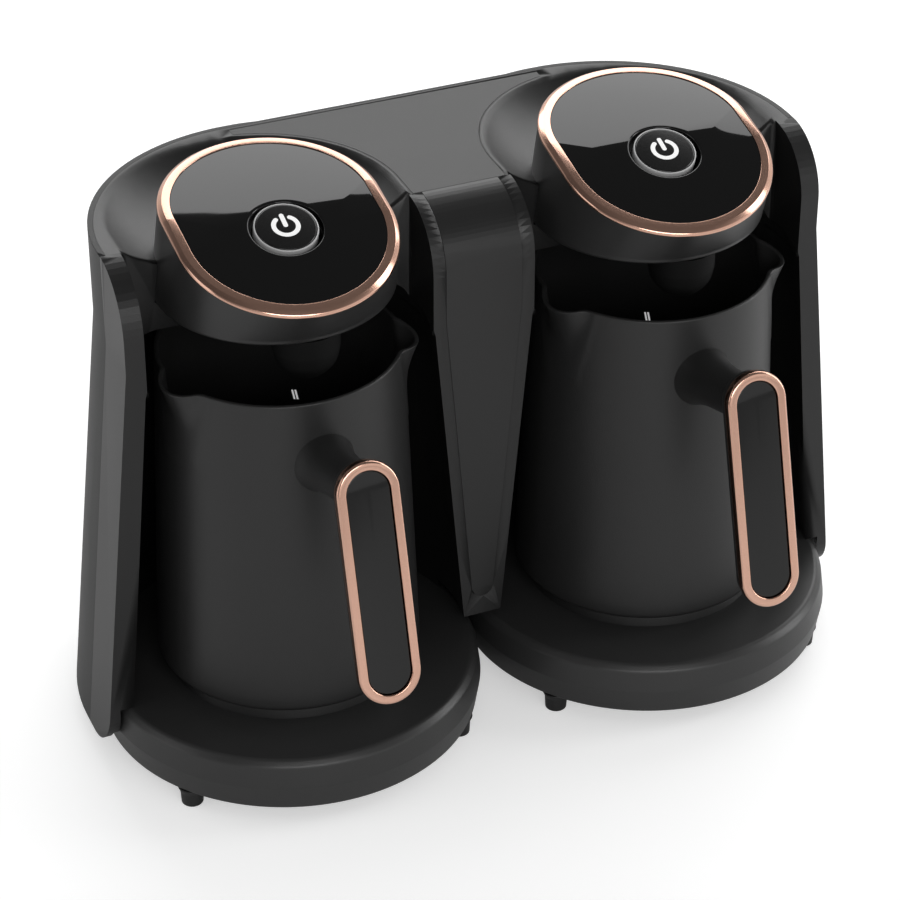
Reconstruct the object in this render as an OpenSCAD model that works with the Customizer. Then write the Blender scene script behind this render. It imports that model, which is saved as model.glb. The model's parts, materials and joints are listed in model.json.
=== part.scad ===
// Twin electric coffee maker: two brewing bays in one housing, two lift-out pots.
// Millimetres. X along the row of pots, -Y towards the user, Z up.
// Origin: centre of the overall footprint, on the table.
// Every piece is modelled where it sits; left and right halves mirror each other.

/* [Layout] */
// Gap between the two round bases
base_gap = 2; // [1.5:0.5:4]
// Height of the top deck above the table
deck_z = 200; // [198:1:204]
// Depth of the housing in front of the pot axes
front_reach = 13.5; // [12:0.5:15]
// Wall thickness of the mouldings
wall = 2.5; // [2.2:0.1:2.8]

/* [Housing] */
// Centre of the rear corners, behind the pot axes
corner_y = 12; // [11:0.5:13]
// Height under which the side walls flare outwards
flare_z = 166; // [160:1:172]
// Sideways flare for each millimetre of height
flare_k = 0.1; // [0.08:0.01:0.11]
// Radius of the roll-over between deck and front
roll_r = 22; // [20:1:22]
// Height of the lower edge of the housing
skirt_z = 10; // [9:0.5:12]

/* [Bays] */
// Ledge of the base round the bay wall, at a height of 100 mm
bay_inset = 10.8; // [10.5:0.1:11.5]
// Bay radius lost for each millimetre of height
bay_k = 0.087; // [0.08:0.001:0.09]
// Height of the bay ceiling
bay_top = 167.5; // [167:0.5:169]
// Width of the deck beside the dished wells
deck_rim = 7; // [6.5:0.1:8]
// Height of the bottom of the well
well_z = 191; // [190:0.5:192]
// Radius of the dish of the well
dish_r = 35; // [33:1:38]

/* [Heads] */
// Tilt of the front half of the lids, degrees
front_tilt = 18.4; // [17:0.1:19]
// Tilt of the rear half of the lids, degrees
rear_tilt = 7.7; // [6.5:0.1:8.5]
// Place of the fold across the lids, from the pot axis
fold_y = -1.7; // [-3:0.1:0]
// Height of the fold at the edge of the lids
fold_z = 207.2; // [206:0.2:209]
// Rise of the crowned lid in its middle
crown = 2.2; // [1.6:0.1:2.4]
// Radius of the lid outline
lid_r = 38.5; // [38:0.1:39]
// Width of the bright ring round the lid
ring_w = 4.5; // [4:0.1:5]
// Height of the underside of the head
head_z = 178; // [177:0.5:180]

/* [Buttons] */
// Radius of the button cap
cap_r = 11; // [10.5:0.1:11.2]
// Travel of the button
travel = 1; // [0.8:0.1:1]

/* [Bases] */
// Radius of the round bases
base_r = 70; // [69:0.5:70]
// Height of the flat top of the bases
base_z = 28.4; // [27.5:0.1:29]
// Height of the rubber feet
foot_h = 7.5; // [6.5:0.5:8]

/* [Pots] */
// Ledge of the base round the bottom of the pot
pot_inset = 22.2; // [22:0.1:23]
// Taper of the pot from its bottom to its rim
pot_taper = 4.8; // [4.4:0.1:5.2]
// Height of the rim above the table
rim_z = 158.4; // [156:0.1:158.6]
// Height of the hot plate on which the pot stands
plate_z = 33.5; // [33:0.1:34]
// Wall thickness of the pot
pot_wall = 1.6; // [1.4:0.1:2]
// Width of the grip
grip_w = 22; // [21:0.5:23]
// Length of the grip
grip_l = 86.7; // [84:0.1:88]
// Backward lean of the grip, degrees
grip_tilt = 15.7; // [14:0.1:17]

/* [View] */
// Which node to build

/* [Hidden] */
$fn = 64;
ux = base_r + base_gap / 2;
corner_r = base_r - 0.5;
corner_in = 10.5;
corner_x = ux - corner_in;
bay_r = base_r - bay_inset;
well_r = corner_r - corner_in - deck_rim;
pot_r = base_r - pot_inset;
rim_r = pot_r - pot_taper;
plate_r = pot_r - 3.8;
post_r = base_r - 20;
back_y = corner_y + corner_r - 0.1;
part_y = 8.5;
fl0 = (flare_z - skirt_z) * flare_k;
front_y = -front_reach;
gland_out = 2;
grip_cy = -pot_r - 44.45;
grip_cz = 116.85;
grip_r = grip_w / 2;
grip_a = grip_l / 2 - grip_r;
reach_y = grip_cy - (grip_a + grip_r) * sin(grip_tilt);
y_off = -(back_y + gland_out + reach_y) / 2;
mid_tilt = (front_tilt + rear_tilt) / 2;
lid_f = 6.85;
lid_b = 7.7;
key_s = -8.2;
head_in = 0.9;
head_by = 5.3;
head_br = lid_r + 3.4;
hood_y = 13.9 - lid_r;
cut_y = part_y + 3.5;
hood_r = 11.7;
hood_cz = 170.6;
spout_turn = 17;

// ---------- frames ----------
module unit(s) { translate([s * ux, 0, 0]) children(); }
module over(s) { translate([s * (ux - head_in), 0, 0]) children(); }
module at_fold(a) { translate([0, fold_y, fold_z]) rotate([a, 0, 0]) children(); }
module at_key() { at_fold(front_tilt) translate([0, key_s, crown]) children(); }
module at_grip() { translate([0, grip_cy, grip_cz]) rotate([90 - grip_tilt, 0, 0]) children(); }
module along_x(w) { rotate([90, 0, 90]) translate([0, 0, -w / 2]) linear_extrude(w) children(); }
module along_y(y0, y1) { translate([0, y1, 0]) rotate([90, 0, 0]) linear_extrude(y1 - y0) children(); }

// ---------- housing volumes ----------
function rad(z) = corner_r + max(0, flare_z - z) * flare_k;
function bay(z) = bay_r - (z - 100) * bay_k;
function side_line(o, z0, z1) = concat([[rad(z0) - o, z0]],
    z0 < flare_z ? [[corner_r - o, flare_z]] : [], [[corner_r - o, z1]]);

module plan_solid(o, z0, z1) {
    side = side_line(o, z0, z1);
    intersection() {
        union() {
            for (s = [-1, 1])
                translate([s * corner_x, corner_y, 0])
                    rotate_extrude(angle = 180) polygon(concat([[0, z0]], side, [[0, z1]]));
            along_y(front_y - 5, corner_y) polygon(concat([for (p = side) p + [corner_x, 0]],
                [for (i = [len(side) - 1 : -1 : 0]) [-corner_x - side[i][0], side[i][1]]]));
            translate([-corner_x, corner_y - 1, z0]) cube([2 * corner_x, corner_r, z1 - z0]);
        }
        translate([-200, -60, z0 - 1]) cube([400, 60 + back_y - o, z1 - z0 + 2]);
    }
}

module side_2d(o, z0, z1, rb) {
    r = roll_r - o;
    y0 = front_y + o;
    translate([y0 + r, z0 + rb]) square([150, z1 - z0 - rb]);
    translate([y0, z0 + rb]) square([r + 1, z1 - r - z0 - rb]);
    translate([y0 + r, z1 - r]) circle(r = r);
    if (rb > 0) {
        translate([y0 + rb, z0]) square([150, rb + 1]);
        translate([y0 + rb, z0 + rb]) circle(r = rb);
    }
}

module shell_solid(o, z0, z1, rb) {
    intersection() {
        plan_solid(o, z0, z1);
        along_x(400) side_2d(o, z0, z1, rb);
    }
}

module bay_void(o) {
    rt = bay(bay_top) + o;
    rotate_extrude() {
        polygon([[0, -1], [bay(-1) + o, -1], [bay(bay_top - 12) + o, bay_top - 12], [0, bay_top - 12]]);
        translate([0, bay_top - 12.01]) square([rt - 12, 12.01 + o]);
        translate([rt - 12, bay_top - 12]) circle(r = 12 + o * 0.6);
    }
}

module upper_void(o) {
    translate([-well_r - o, front_y - 6, bay_top - 10 - o])
        cube([2 * (well_r + o), 6 - front_y + part_y + o, 100]);
}

module well_2d(o) {
    cr = well_r - sqrt(pow(dish_r, 2) - pow(dish_r - deck_z + well_z, 2));
    translate([0, well_z - o]) square([cr, 80]);
    intersection() {
        translate([cr, well_z + dish_r]) circle(r = dish_r + o, $fn = 96);
        translate([0, well_z - o]) square(120);
    }
}

module well_void(o) {
    translate([0, well_cy(), 0]) rotate_extrude() well_2d(o);
    along_y(-1, well_cy()) {
        well_2d(o);
        mirror([1, 0]) well_2d(o);
    }
}
function well_cy() = back_y - 8 - well_r;

module base_void() {
    translate([0, 0, 2]) cylinder(h = base_z - 2, r = base_r + 0.4);
}

// outline of the lid: two half circles joined by straight sides
module lid_2d(r) {
    translate([-r, -lid_f]) square([2 * r, lid_f + lid_b]);
    for (p = [-lid_f, lid_b]) translate([0, p]) circle(r = r);
}
module lid_prism(r, z0, z1) {
    at_fold(mid_tilt) translate([0, 0, z0]) linear_extrude(z1 - z0) lid_2d(r);
}

// the lid is folded: both of its planes lie over this volume, at height t
module below_lid(t) {
    intersection() {
        at_fold(front_tilt) translate([-80, -90, t - 120]) cube([160, 180, 120]);
        at_fold(rear_tilt) translate([-80, -90, t - 120]) cube([160, 180, 120]);
    }
}

// the head is lofted from a round underside to the folded outline of the lid
module head_loft(o, z, t) {
    intersection() {
        hull() {
            translate([0, head_by, head_z + z]) cylinder(h = 1, r = head_br - o);
            lid_prism(lid_r - 1.4 - o, 8, 9);
        }
        below_lid(t);
    }
}

module head_solid(s) {
    head_loft(0, 0, -3);
    intersection() {
        translate([0, head_by, well_z - 1]) cylinder(h = 7, r1 = head_br + 3, r2 = head_br - 2);
        translate([-60, part_y + 0.5, well_z - 2]) cube([120, 70, 10]);
        translate([s * head_in, 0, 0]) well_void(-0.06);
    }
}

module head_void() {
    head_loft(wall + 0.1, wall, -6);
    lid_prism(lid_r - 8, -10, 8);
    translate([0, 24, head_z - 2]) cylinder(h = 12, r = 7);
}

module pillar_tongue(c) {
    hb = 4.2 + c;
    ht = 14.2 + c;
    polygon([[-hb, 44], [hb, 44], [ht, 160], [ht, 260], [-ht, 260], [-ht, 160]]);
    translate([0, 44]) circle(r = hb);
}

module tongue_skin(c, d) {
    intersection() {
        along_y(front_y - 5, part_y) pillar_tongue(c);
        difference() {
            along_x(60) side_2d(0, 20, deck_z, 0);
            along_x(70) side_2d(d, 10, deck_z - d, 0);
        }
    }
}

// ---------- housing ----------
module thick_voids() {
    for (s = [-1, 1]) unit(s) {
        bay_void(wall);
        upper_void(wall);
        well_void(wall);
    }
}

// all that is cut out of the mouldings round the bays
module cut_voids() {
    for (s = [-1, 1]) unit(s) {
        bay_void(0);
        upper_void(0);
        well_void(0);
        base_void();
    }
    for (s = [-1, 1]) over(s) head_loft(-0.06, -0.1, -3);
    panel_recess();
}

module front_body() {
    color([0.09, 0.09, 0.1]) translate([0, y_off, 0]) difference() {
        union() {
            difference() {
                front_form();
                shell_solid(wall, 0, deck_z - 3, 0);
            }
            slab(part_y, cut_y) plan_solid(2.05, deck_z - 3, deck_z);
            intersection() {
                union() {
                    front_form();
                    slab(part_y, cut_y) plan_solid(2.05, skirt_z, deck_z);
                }
                thick_voids();
            }
        }
        cut_voids();
        translate([-14, front_y - 1, 2]) cube([28, 40, 30]);
        tongue_skin(0.15, 1.5);
    }
}

module front_form() { slab(-50, part_y) shell_solid(0, skirt_z, deck_z, 16); }
module slab(y0, y1) {
    intersection() {
        children();
        translate([-200, y0, 0]) cube([400, y1 - y0, 300]);
    }
}

// wells and bay walls behind the front moulding, before they are divided
module rear_moulding() {
    difference() {
        union() {
            slab(cut_y, 200) plan_solid(2.05, deck_z - 3, deck_z);
            intersection() {
                slab(cut_y, 200) plan_solid(2.05, skirt_z, deck_z);
                thick_voids();
            }
            for (x = [-26, 26], z = [50, 150])
                translate([x, back_y - 48, z]) rotate([-90, 0, 0]) cylinder(h = 46, r = 4);
        }
        cut_voids();
        for (x = [-26, 26], z = [50, 150])
            translate([x, back_y - 22, z]) rotate([-90, 0, 0]) cylinder(h = 30, r = 1.55);
    }
}

module deck_frame() {
    color([0.09, 0.09, 0.1]) translate([0, y_off, 0]) intersection() {
        rear_moulding();
        translate([-200, -60, split_z()]) cube([400, 260, 100]);
    }
}

module bay_liner(s) {
    color([0.09, 0.09, 0.1]) translate([0, y_off, 0]) intersection() {
        rear_moulding();
        translate([s > 0 ? 0 : -200, -60, 0]) cube([200, 260, split_z()]);
    }
}
function split_z() = (bay_top + well_z) / 2;

module head_shell(s) {
    color([0.08, 0.08, 0.09]) translate([0, y_off, 0]) over(s) difference() {
        head_solid(s);
        head_void();
        translate([0, hood_y, head_z - 1]) cylinder(h = 5, r = 6);
    }
}

module rear_shell() {
    color([0.12, 0.12, 0.13]) translate([0, y_off, 0]) difference() {
        intersection() {
            plan_solid(0, skirt_z, deck_z);
            translate([-200, part_y, 0]) cube([400, 200, 300]);
        }
        plan_solid(2, 0, deck_z + 5);
        for (x = [-26, 26], z = [50, 150])
            translate([x, back_y - 12, z]) rotate([-90, 0, 0]) cylinder(h = 30, r = 1.65);
        translate([0, back_y - 12, 34]) rotate([-90, 0, 0]) cylinder(h = 30, r = 6.05);
    }
}

module panel_2d(c) {
    difference() {
        translate([11 - ux, part_y + 0.2 - c]) square([2 * ux - 22, back_y - 4 - part_y + 2 * c]);
        for (s = [-1, 1]) {
            translate([s * ux, well_cy()]) circle(r = well_r + 1.6 - c);
            translate([s * ux - well_r - 1.6 + c, -10]) square([2 * (well_r + 1.6 - c), 10 + well_cy()]);
        }
    }
}

module panel_recess() { translate([0, 0, deck_z - 1.2]) linear_extrude(5) panel_2d(0.12); }

module top_panel() {
    color([0.5, 0.5, 0.51]) translate([0, y_off, deck_z - 1.2]) linear_extrude(1.2) panel_2d(0);
}

module pillar_panel() {
    color([0.14, 0.14, 0.15]) translate([0, y_off, 0]) tongue_skin(0, 1.5);
}

module rear_pan() {
    color([0.1, 0.1, 0.1]) translate([0, y_off, skirt_z]) linear_extrude(2) difference() {
        union() {
            for (s = [-1, 1]) translate([s * corner_x, corner_y]) circle(r = corner_r + fl0 - 2.25);
            translate([-corner_x, corner_y]) square([2 * corner_x, corner_r]);
        }
        translate([-200, -100]) square([400, 100 + corner_y]);
        translate([-200, back_y - 2.05]) square([400, 60]);
        for (s = [-1, 1]) translate([s * ux, 0]) circle(r = base_r - 0.7);
        for (x = [-18, -9, 0, 9, 18]) translate([x - 1.6, back_y - 35.4]) square([3.2, 22]);
    }
}

module rear_screws() {
    color([0.3, 0.3, 0.31]) for (x = [-26, 26], z = [50, 150])
        translate([x, y_off, z]) rotate([-90, 0, 0]) difference() {
            union() {
                translate([0, 0, back_y - 14]) cylinder(h = 14.2, r = 1.5);
                translate([0, 0, back_y]) cylinder(h = 1.6, r1 = 3.4, r2 = 2.8);
            }
            for (a = [0, 90]) rotate([0, 0, a])
                translate([-2, -0.4, back_y + 0.8]) cube([4, 0.8, 2]);
        }
}

module cord_gland() {
    color([0.05, 0.05, 0.05]) translate([0, y_off, 34]) rotate([-90, 0, 0]) difference() {
        union() {
            translate([0, 0, back_y - 7]) cylinder(h = 7 + gland_out, r = 6);
            translate([0, 0, back_y]) cylinder(h = gland_out, r = 8);
            translate([0, 0, back_y - 7]) cylinder(h = 4.9, r = 7.5);
        }
        cylinder(h = 200, r = 3.4);
    }
}

// ---------- bases ----------
module base_body(s) {
    color([0.08, 0.08, 0.08]) translate([0, y_off, 0]) unit(s) difference() {
        rotate_extrude() difference() {
            union() {
                polygon([[0, foot_h], [base_r - 1.6, foot_h], [base_r, 17.6],
                    [base_r - 1.2, base_z - 2], [0, base_z - 2]]);
                translate([0, base_z - 4]) square([base_r - 3.2, 4]);
                translate([base_r - 3.2, base_z - 2]) circle(r = 2);
            }
            polygon([[0, foot_h - 1], [base_r - 4.1, foot_h - 1], [base_r - 2.6, 17.6],
                [base_r - 4, base_z - 5], [0, base_z - 5]]);
        }
        translate([0, 0, base_z - 8]) cylinder(h = 20, r = plate_r - 3.9);
    }
}

module base_pan(s) {
    color([0.1, 0.1, 0.1]) translate([0, y_off, foot_h]) unit(s) linear_extrude(2) difference() {
        circle(r = base_r - 4.15);
        for (a = [0 : 60 : 300]) rotate(a) translate([22, -1.5]) square([16, 3]);
        for (a = [30, 150, 270]) rotate(a) translate([post_r, 0]) circle(r = 1.6);
    }
}

module base_screws() {
    color([0.3, 0.3, 0.31]) for (s = [-1, 1], a = [30, 150, 270])
        translate([s * ux, y_off, 0]) rotate([0, 0, a]) translate([post_r, 0, foot_h]) difference() {
            union() {
                translate([0, 0, -1.4]) cylinder(h = 1.4, r1 = 2.4, r2 = 3);
                translate([0, 0, -0.5]) cylinder(h = 12.5, r = 1.5);
            }
            for (b = [0, 90]) rotate([0, 0, b]) translate([-1.8, -0.35, -2]) cube([3.6, 0.7, 1.3]);
        }
}

module base_posts(s) {
    color([0.09, 0.09, 0.09]) translate([0, y_off, 0]) unit(s)
        for (a = [30, 150, 270]) rotate([0, 0, a]) translate([post_r, 0, foot_h + 2]) difference() {
            cylinder(h = base_z - 5 - foot_h - 2, r = 4);
            translate([0, 0, -1]) cylinder(h = 12.5, r = 1.55);
        }
}

module rubber_feet() {
    color([0.04, 0.04, 0.04]) for (s = [-1, 1], x = [-1, 1], y = [-1, 1])
        translate([s * ux + x * (base_r - 18.5), y * (base_r - 32.5) + y_off, 0])
            cylinder(h = foot_h, r1 = 3.8, r2 = 4.3);
}

module heater_plate(s) {
    color([0.1, 0.1, 0.11]) translate([0, y_off, 0]) unit(s) {
        translate([0, 0, base_z]) cylinder(h = plate_z - base_z, r1 = plate_r, r2 = plate_r - 1);
        translate([0, 0, base_z - 7]) cylinder(h = 7.5, r = plate_r - 4);
    }
}

module heater_element(s) {
    color([0.45, 0.45, 0.46]) translate([0, y_off, base_z - 7 - 3]) unit(s) {
        rotate_extrude() translate([plate_r - 16, 0]) circle(r = 3);
        for (a = [-14, 14]) rotate([0, 0, 90 + a]) translate([plate_r - 16, 0, -7.5]) cylinder(h = 7.5, r = 1.4);
    }
}

module thermostat(s) {
    color([0.75, 0.72, 0.6]) translate([0, y_off, base_z - 7]) unit(s) {
        translate([0, 0, -4]) cylinder(h = 4, r = 8);
        for (x = [-5, 5]) translate([x - 0.4, -2.5, -8]) cube([0.8, 5, 5]);
    }
}

// ---------- control electronics ----------
module control_board() {
    color([0.1, 0.35, 0.18]) translate([0, y_off + back_y, 0]) {
        difference() {
            translate([-34, -16.4, 62]) cube([68, 1.6, 78]);
            for (x = [-26, 26]) translate([x, -21.4, 133]) rotate([-90, 0, 0]) cylinder(h = 10, r = 1.6);
        }
    }
}

module board_parts() {
    color([0.15, 0.15, 0.3]) translate([0, y_off + back_y - 16.4, 0]) {
        translate([-28, -14, 70]) cube([24, 14, 20]);
        translate([6, -9, 70]) cube([10, 9, 14]);
        translate([19, -9, 70]) cube([10, 9, 14]);
        translate([-20, -7, 112]) rotate([-90, 0, 0]) cylinder(h = 7, r = 5);
        translate([12, -2, 104]) cube([14, 2, 14]);
    }
}

module buzzer() {
    color([0.05, 0.05, 0.05]) translate([4, y_off + back_y - 23.4, 128]) rotate([-90, 0, 0]) difference() {
        cylinder(h = 7, r = 6);
        translate([0, 0, -1]) cylinder(h = 3, r = 1);
    }
}

module board_brackets() {
    color([0.2, 0.2, 0.2]) translate([0, y_off, 0])
        for (x = [-37, 34]) translate([x, back_y - 21, 70]) cube([3, 19, 60]);
}

// ---------- heads ----------
module head_ring(s) {
    color([0.85, 0.6, 0.5]) translate([0, y_off, 0]) over(s) difference() {
        intersection() {
            lid_prism(lid_r, -20, 20);
            below_lid(0);
        }
        below_lid(-3);
        lid_prism(lid_r - ring_w, -30, 30);
    }
}

// two shallow spheres, one over each plane of the lid
module crowned(r, t) {
    ball = (r * r + crown * crown) / (2 * crown);
    intersection() {
        at_fold(front_tilt) translate([0, -lid_f, crown + t - ball]) sphere(r = ball, $fn = 240);
        at_fold(rear_tilt) translate([0, lid_b, crown + t - ball]) sphere(r = ball, $fn = 240);
    }
}

module head_panel(s) {
    rp = lid_r - ring_w - 0.1;
    color([0.03, 0.03, 0.03]) translate([0, y_off, 0]) over(s) difference() {
        intersection() {
            lid_prism(rp, -20, 20);
            crowned(rp, -0.6);
        }
        below_lid(-3);
        at_key() translate([0, 0, -20]) cylinder(h = 30, r = cap_r + 2.5);
        at_key() translate([0, 0, -20]) cylinder(h = 16.2, r = cap_r + 5.05);
    }
}

module button_guide(s) {
    color([0.05, 0.05, 0.05]) translate([0, y_off, 0]) over(s) at_key() {
        difference() {
            translate([0, 0, -11]) cylinder(h = 7.2, r = cap_r + 5);
            translate([0, 0, -12]) cylinder(h = 7.05, r = cap_r + 1.6);
            translate([0, 0, -12]) cylinder(h = 10, r = cap_r + 1.3);
        }
        for (a = [0, 120, 240]) rotate([0, 0, a])
            translate([cap_r + 3.2, 0, -15]) cylinder(h = 4.2, r = 1.6);
    }
}

module power_button(s) {
    color([0.04, 0.04, 0.04]) translate([0, y_off, 0]) over(s) at_key() {
        translate([0, 0, -5.2]) cylinder(h = 5, r = cap_r);
        translate([0, 0, -9]) cylinder(h = 4, r = cap_r + 1.55);
        translate([0, 0, -10.4]) cylinder(h = 1.6, r = 2.4);
        power_mark();
    }
}

module power_mark() {
    translate([0, 0, -0.3]) linear_extrude(0.22) {
        difference() {
            circle(r = 4.6);
            circle(r = 3.4);
            translate([-1.5, 0]) square([3, 6]);
        }
        translate([-0.6, 0.8]) square([1.2, 4.9]);
    }
}

module button_ring(s) {
    color([0.7, 0.7, 0.71]) translate([0, y_off, 0]) over(s) at_key() translate([0, 0, -5])
        difference() {
            cylinder(h = 4.6, r = cap_r + 1.2);
            translate([0, 0, -1]) cylinder(h = 7, r = cap_r + 0.02);
        }
}

module switch_plunger(s) {
    color([0.1, 0.1, 0.1]) translate([0, y_off, 0]) over(s) at_key()
        translate([0, 0, -12.9]) cylinder(h = 2.5, r = 1.6);
}

module tact_switch(s) {
    color([0.6, 0.6, 0.6]) translate([0, y_off, 0]) over(s) at_key() difference() {
        translate([-3, -3, -15]) cube([6, 6, 3.4]);
        translate([0, 0, -14]) cylinder(h = 6, r = 1.65);
    }
}

module key_board(s) {
    color([0.1, 0.35, 0.18]) translate([0, y_off, 0]) over(s) at_key()
        translate([0, 0, -16.6]) cylinder(h = 1.6, r = 17.5);
}

module sensor_hood(s) {
    color([0.07, 0.07, 0.07]) translate([0, y_off, 0]) over(s) translate([0, hood_y, 0]) difference() {
        union() {
            translate([0, 0, hood_cz]) cylinder(h = head_z - hood_cz, r = hood_r);
            translate([0, 0, hood_cz]) sphere(r = hood_r);
        }
        translate([0, 0, head_z]) cylinder(h = 30, r = 30);
        translate([0, 0, hood_cz]) cylinder(h = 20, r = hood_r - 1.6);
        translate([0, 0, hood_cz]) sphere(r = hood_r - 1.6);
        translate([0, 0, hood_cz - 20]) cylinder(h = 20, r = 2.9);
    }
}

module foam_sensor(s) {
    color([0.15, 0.12, 0.12]) translate([0, y_off, 0]) over(s) translate([0, hood_y, 0]) {
        translate([0, 0, hood_cz - hood_r + 0.6]) cylinder(h = 10.6, r = 2.85);
        translate([-7, -5, hood_cz - 0.6]) cube([14, 10, 2]);
        for (x = [-7, 6]) translate([x, -5, hood_cz]) cube([1, 10, head_z - hood_cz]);
    }
}

// ---------- pots ----------
module pot_2d(o) {
    polygon([[0, plate_z + o], [pot_r - 3 - o, plate_z + o], [pot_r - o, plate_z + 3 + o],
        [rim_r - o, rim_z + (o > 0 ? 8 : 0)], [0, rim_z + (o > 0 ? 8 : 0)]]);
}

module spout(o, sx) {
    rotate([0, 0, -sx * spout_turn]) intersection() {
        translate([sx * (rim_r - 10.8), 0, rim_z - 28.4]) rotate([0, sx * 5.8, 0])
            cylinder(h = 45, r1 = 9.2 - o, r2 = 18.4 - o);
        translate([sx * rim_r, 0, rim_z - 0.2]) rotate([0, -sx * 32, 0]) translate([-60, -60, -90])
            cube([120, 120, 90 + (o > 0 ? 10 : 0)]);
        translate([sx > 0 ? 20 : -60, -60, 100]) cube([40, 120, 100]);
    }
}

module pot(s) {
    color([0.06, 0.06, 0.06]) translate([0, y_off, 0]) unit(s) difference() {
        union() {
            rotate_extrude() pot_2d(0);
            for (sx = [-1, 1]) spout(0, sx);
        }
        rotate_extrude() pot_2d(pot_wall);
        for (sx = [-1, 1]) spout(pot_wall, sx);
    }
}

module stadium(r) {
    translate([-r, -grip_a]) square([2 * r, 2 * grip_a]);
    for (y = [-grip_a, grip_a]) translate([0, y]) circle(r = r);
}

module handle_core(s) {
    color([0.05, 0.05, 0.05]) translate([0, y_off, 0]) unit(s) difference() {
        at_grip() {
            translate([0, 0, -8.5]) linear_extrude(4.3) stadium(grip_r - 0.8);
            translate([0, grip_a - 1, -50]) cylinder(h = 44, r1 = 11.5, r2 = 8.2);
        }
        cylinder(h = 200, r = 30);
        rotate_extrude() pot_2d(0);
        at_grip() translate([0, grip_a - 1, -60]) cylinder(h = 80, r = 2.05);
        at_grip() translate([0, grip_a - 1, -7]) cylinder(h = 10, r = 3.8);
    }
}

module handle_ring(s) {
    color([0.85, 0.6, 0.5]) translate([0, y_off, 0]) unit(s) at_grip()
        translate([0, 0, -4.2]) linear_extrude(4.2) difference() {
            stadium(grip_r);
            stadium(grip_r - 3.2);
        }
}

module handle_inset(s) {
    color([0.02, 0.02, 0.02]) translate([0, y_off, 0]) unit(s) at_grip()
        translate([0, 0, -4.2]) linear_extrude(3.2) stadium(grip_r - 3.25);
}

module handle_screw(s) {
    color([0.5, 0.5, 0.5]) translate([0, y_off, 0]) unit(s) difference() {
        at_grip() translate([0, grip_a - 1, 0]) {
            translate([0, 0, -7]) cylinder(h = 2.2, r = 3.6);
            translate([0, 0, -42]) cylinder(h = 36, r = 2);
        }
        rotate_extrude() pot_2d(0);
    }
}

// ---------- assembly ----------

front_body();
deck_frame();
bay_liner(-1);  // left_bay_liner
bay_liner(1);  // right_bay_liner
rear_shell();
top_panel();
pillar_panel();
rear_pan();
rear_screws();
cord_gland();
base_body(-1);  // left_base
base_body(1);  // right_base
base_pan(-1);  // left_base_pan
base_pan(1);  // right_base_pan
base_posts(-1);  // left_base_posts
base_posts(1);  // right_base_posts
base_screws();
rubber_feet();
heater_plate(-1);  // left_heater_plate
heater_plate(1);  // right_heater_plate
heater_element(-1);  // left_heater_element
heater_element(1);  // right_heater_element
thermostat(-1);  // left_thermostat
thermostat(1);  // right_thermostat
control_board();
board_parts();
buzzer();
board_brackets();
head_shell(-1);  // left_head_shell
head_shell(1);  // right_head_shell
head_ring(-1);  // left_head_ring
head_ring(1);  // right_head_ring
head_panel(-1);  // left_head_panel
head_panel(1);  // right_head_panel
button_guide(-1);  // left_button_guide
button_guide(1);  // right_button_guide
power_button(-1);  // left_button
power_button(1);  // right_button
button_ring(-1);  // left_button_ring
button_ring(1);  // right_button_ring
switch_plunger(-1);  // left_switch_plunger
switch_plunger(1);  // right_switch_plunger
tact_switch(-1);  // left_tact_switch
tact_switch(1);  // right_tact_switch
key_board(-1);  // left_key_board
key_board(1);  // right_key_board
sensor_hood(-1);  // left_sensor_hood
sensor_hood(1);  // right_sensor_hood
foam_sensor(-1);  // left_foam_sensor
foam_sensor(1);  // right_foam_sensor
pot(-1);  // left_pot
pot(1);  // right_pot
handle_core(-1);  // left_handle_core
handle_core(1);  // right_handle_core
handle_ring(-1);  // left_handle_ring
handle_ring(1);  // right_handle_ring
handle_inset(-1);  // left_handle_inset
handle_inset(1);  // right_handle_inset
handle_screw(-1);  // left_handle_screw
handle_screw(1);  // right_handle_screw
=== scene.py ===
# %% [markdown]
# Twin coffee maker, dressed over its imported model.
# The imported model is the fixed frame: every node already sits where it belongs, in metres.
# This lesson keeps the plain inner nodes, gives each one a finish, and lays new smooth
# surfaces over the pieces that people see: pots, grips, heads, buttons, bases and housing.

# %% Load the frame
import bpy
import bmesh
import json
import math
import numpy as np
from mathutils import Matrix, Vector


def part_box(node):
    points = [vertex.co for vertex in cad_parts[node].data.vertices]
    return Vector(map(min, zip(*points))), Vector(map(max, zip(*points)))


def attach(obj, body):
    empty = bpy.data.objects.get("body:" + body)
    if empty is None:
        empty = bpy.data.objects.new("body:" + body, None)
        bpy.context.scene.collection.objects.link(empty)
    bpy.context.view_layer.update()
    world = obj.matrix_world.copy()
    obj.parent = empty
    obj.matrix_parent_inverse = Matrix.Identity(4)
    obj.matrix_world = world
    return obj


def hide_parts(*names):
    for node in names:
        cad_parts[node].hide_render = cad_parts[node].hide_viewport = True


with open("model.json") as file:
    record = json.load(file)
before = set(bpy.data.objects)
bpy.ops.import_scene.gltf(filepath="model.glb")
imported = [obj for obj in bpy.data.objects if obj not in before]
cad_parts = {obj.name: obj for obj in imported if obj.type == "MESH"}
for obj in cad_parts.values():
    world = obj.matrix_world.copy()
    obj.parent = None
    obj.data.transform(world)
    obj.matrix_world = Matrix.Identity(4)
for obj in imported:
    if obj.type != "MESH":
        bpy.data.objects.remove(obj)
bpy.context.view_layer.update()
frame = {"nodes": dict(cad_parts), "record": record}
nodes = frame["nodes"]

# %% [markdown]
# All shapes below are worked out in millimetres round the axis of one pot, because the
# two halves of the machine mirror each other. The middle of the hot plate gives that
# axis, so the numbers follow the frame wherever it was packed.

# %% Where the two pot axes stand
def middle(node):
    """Middle of a node's box: half of lowest plus highest corner, in millimetres."""
    low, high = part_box(node)
    return (np.array(low) + np.array(high)) * 500.0

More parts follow.
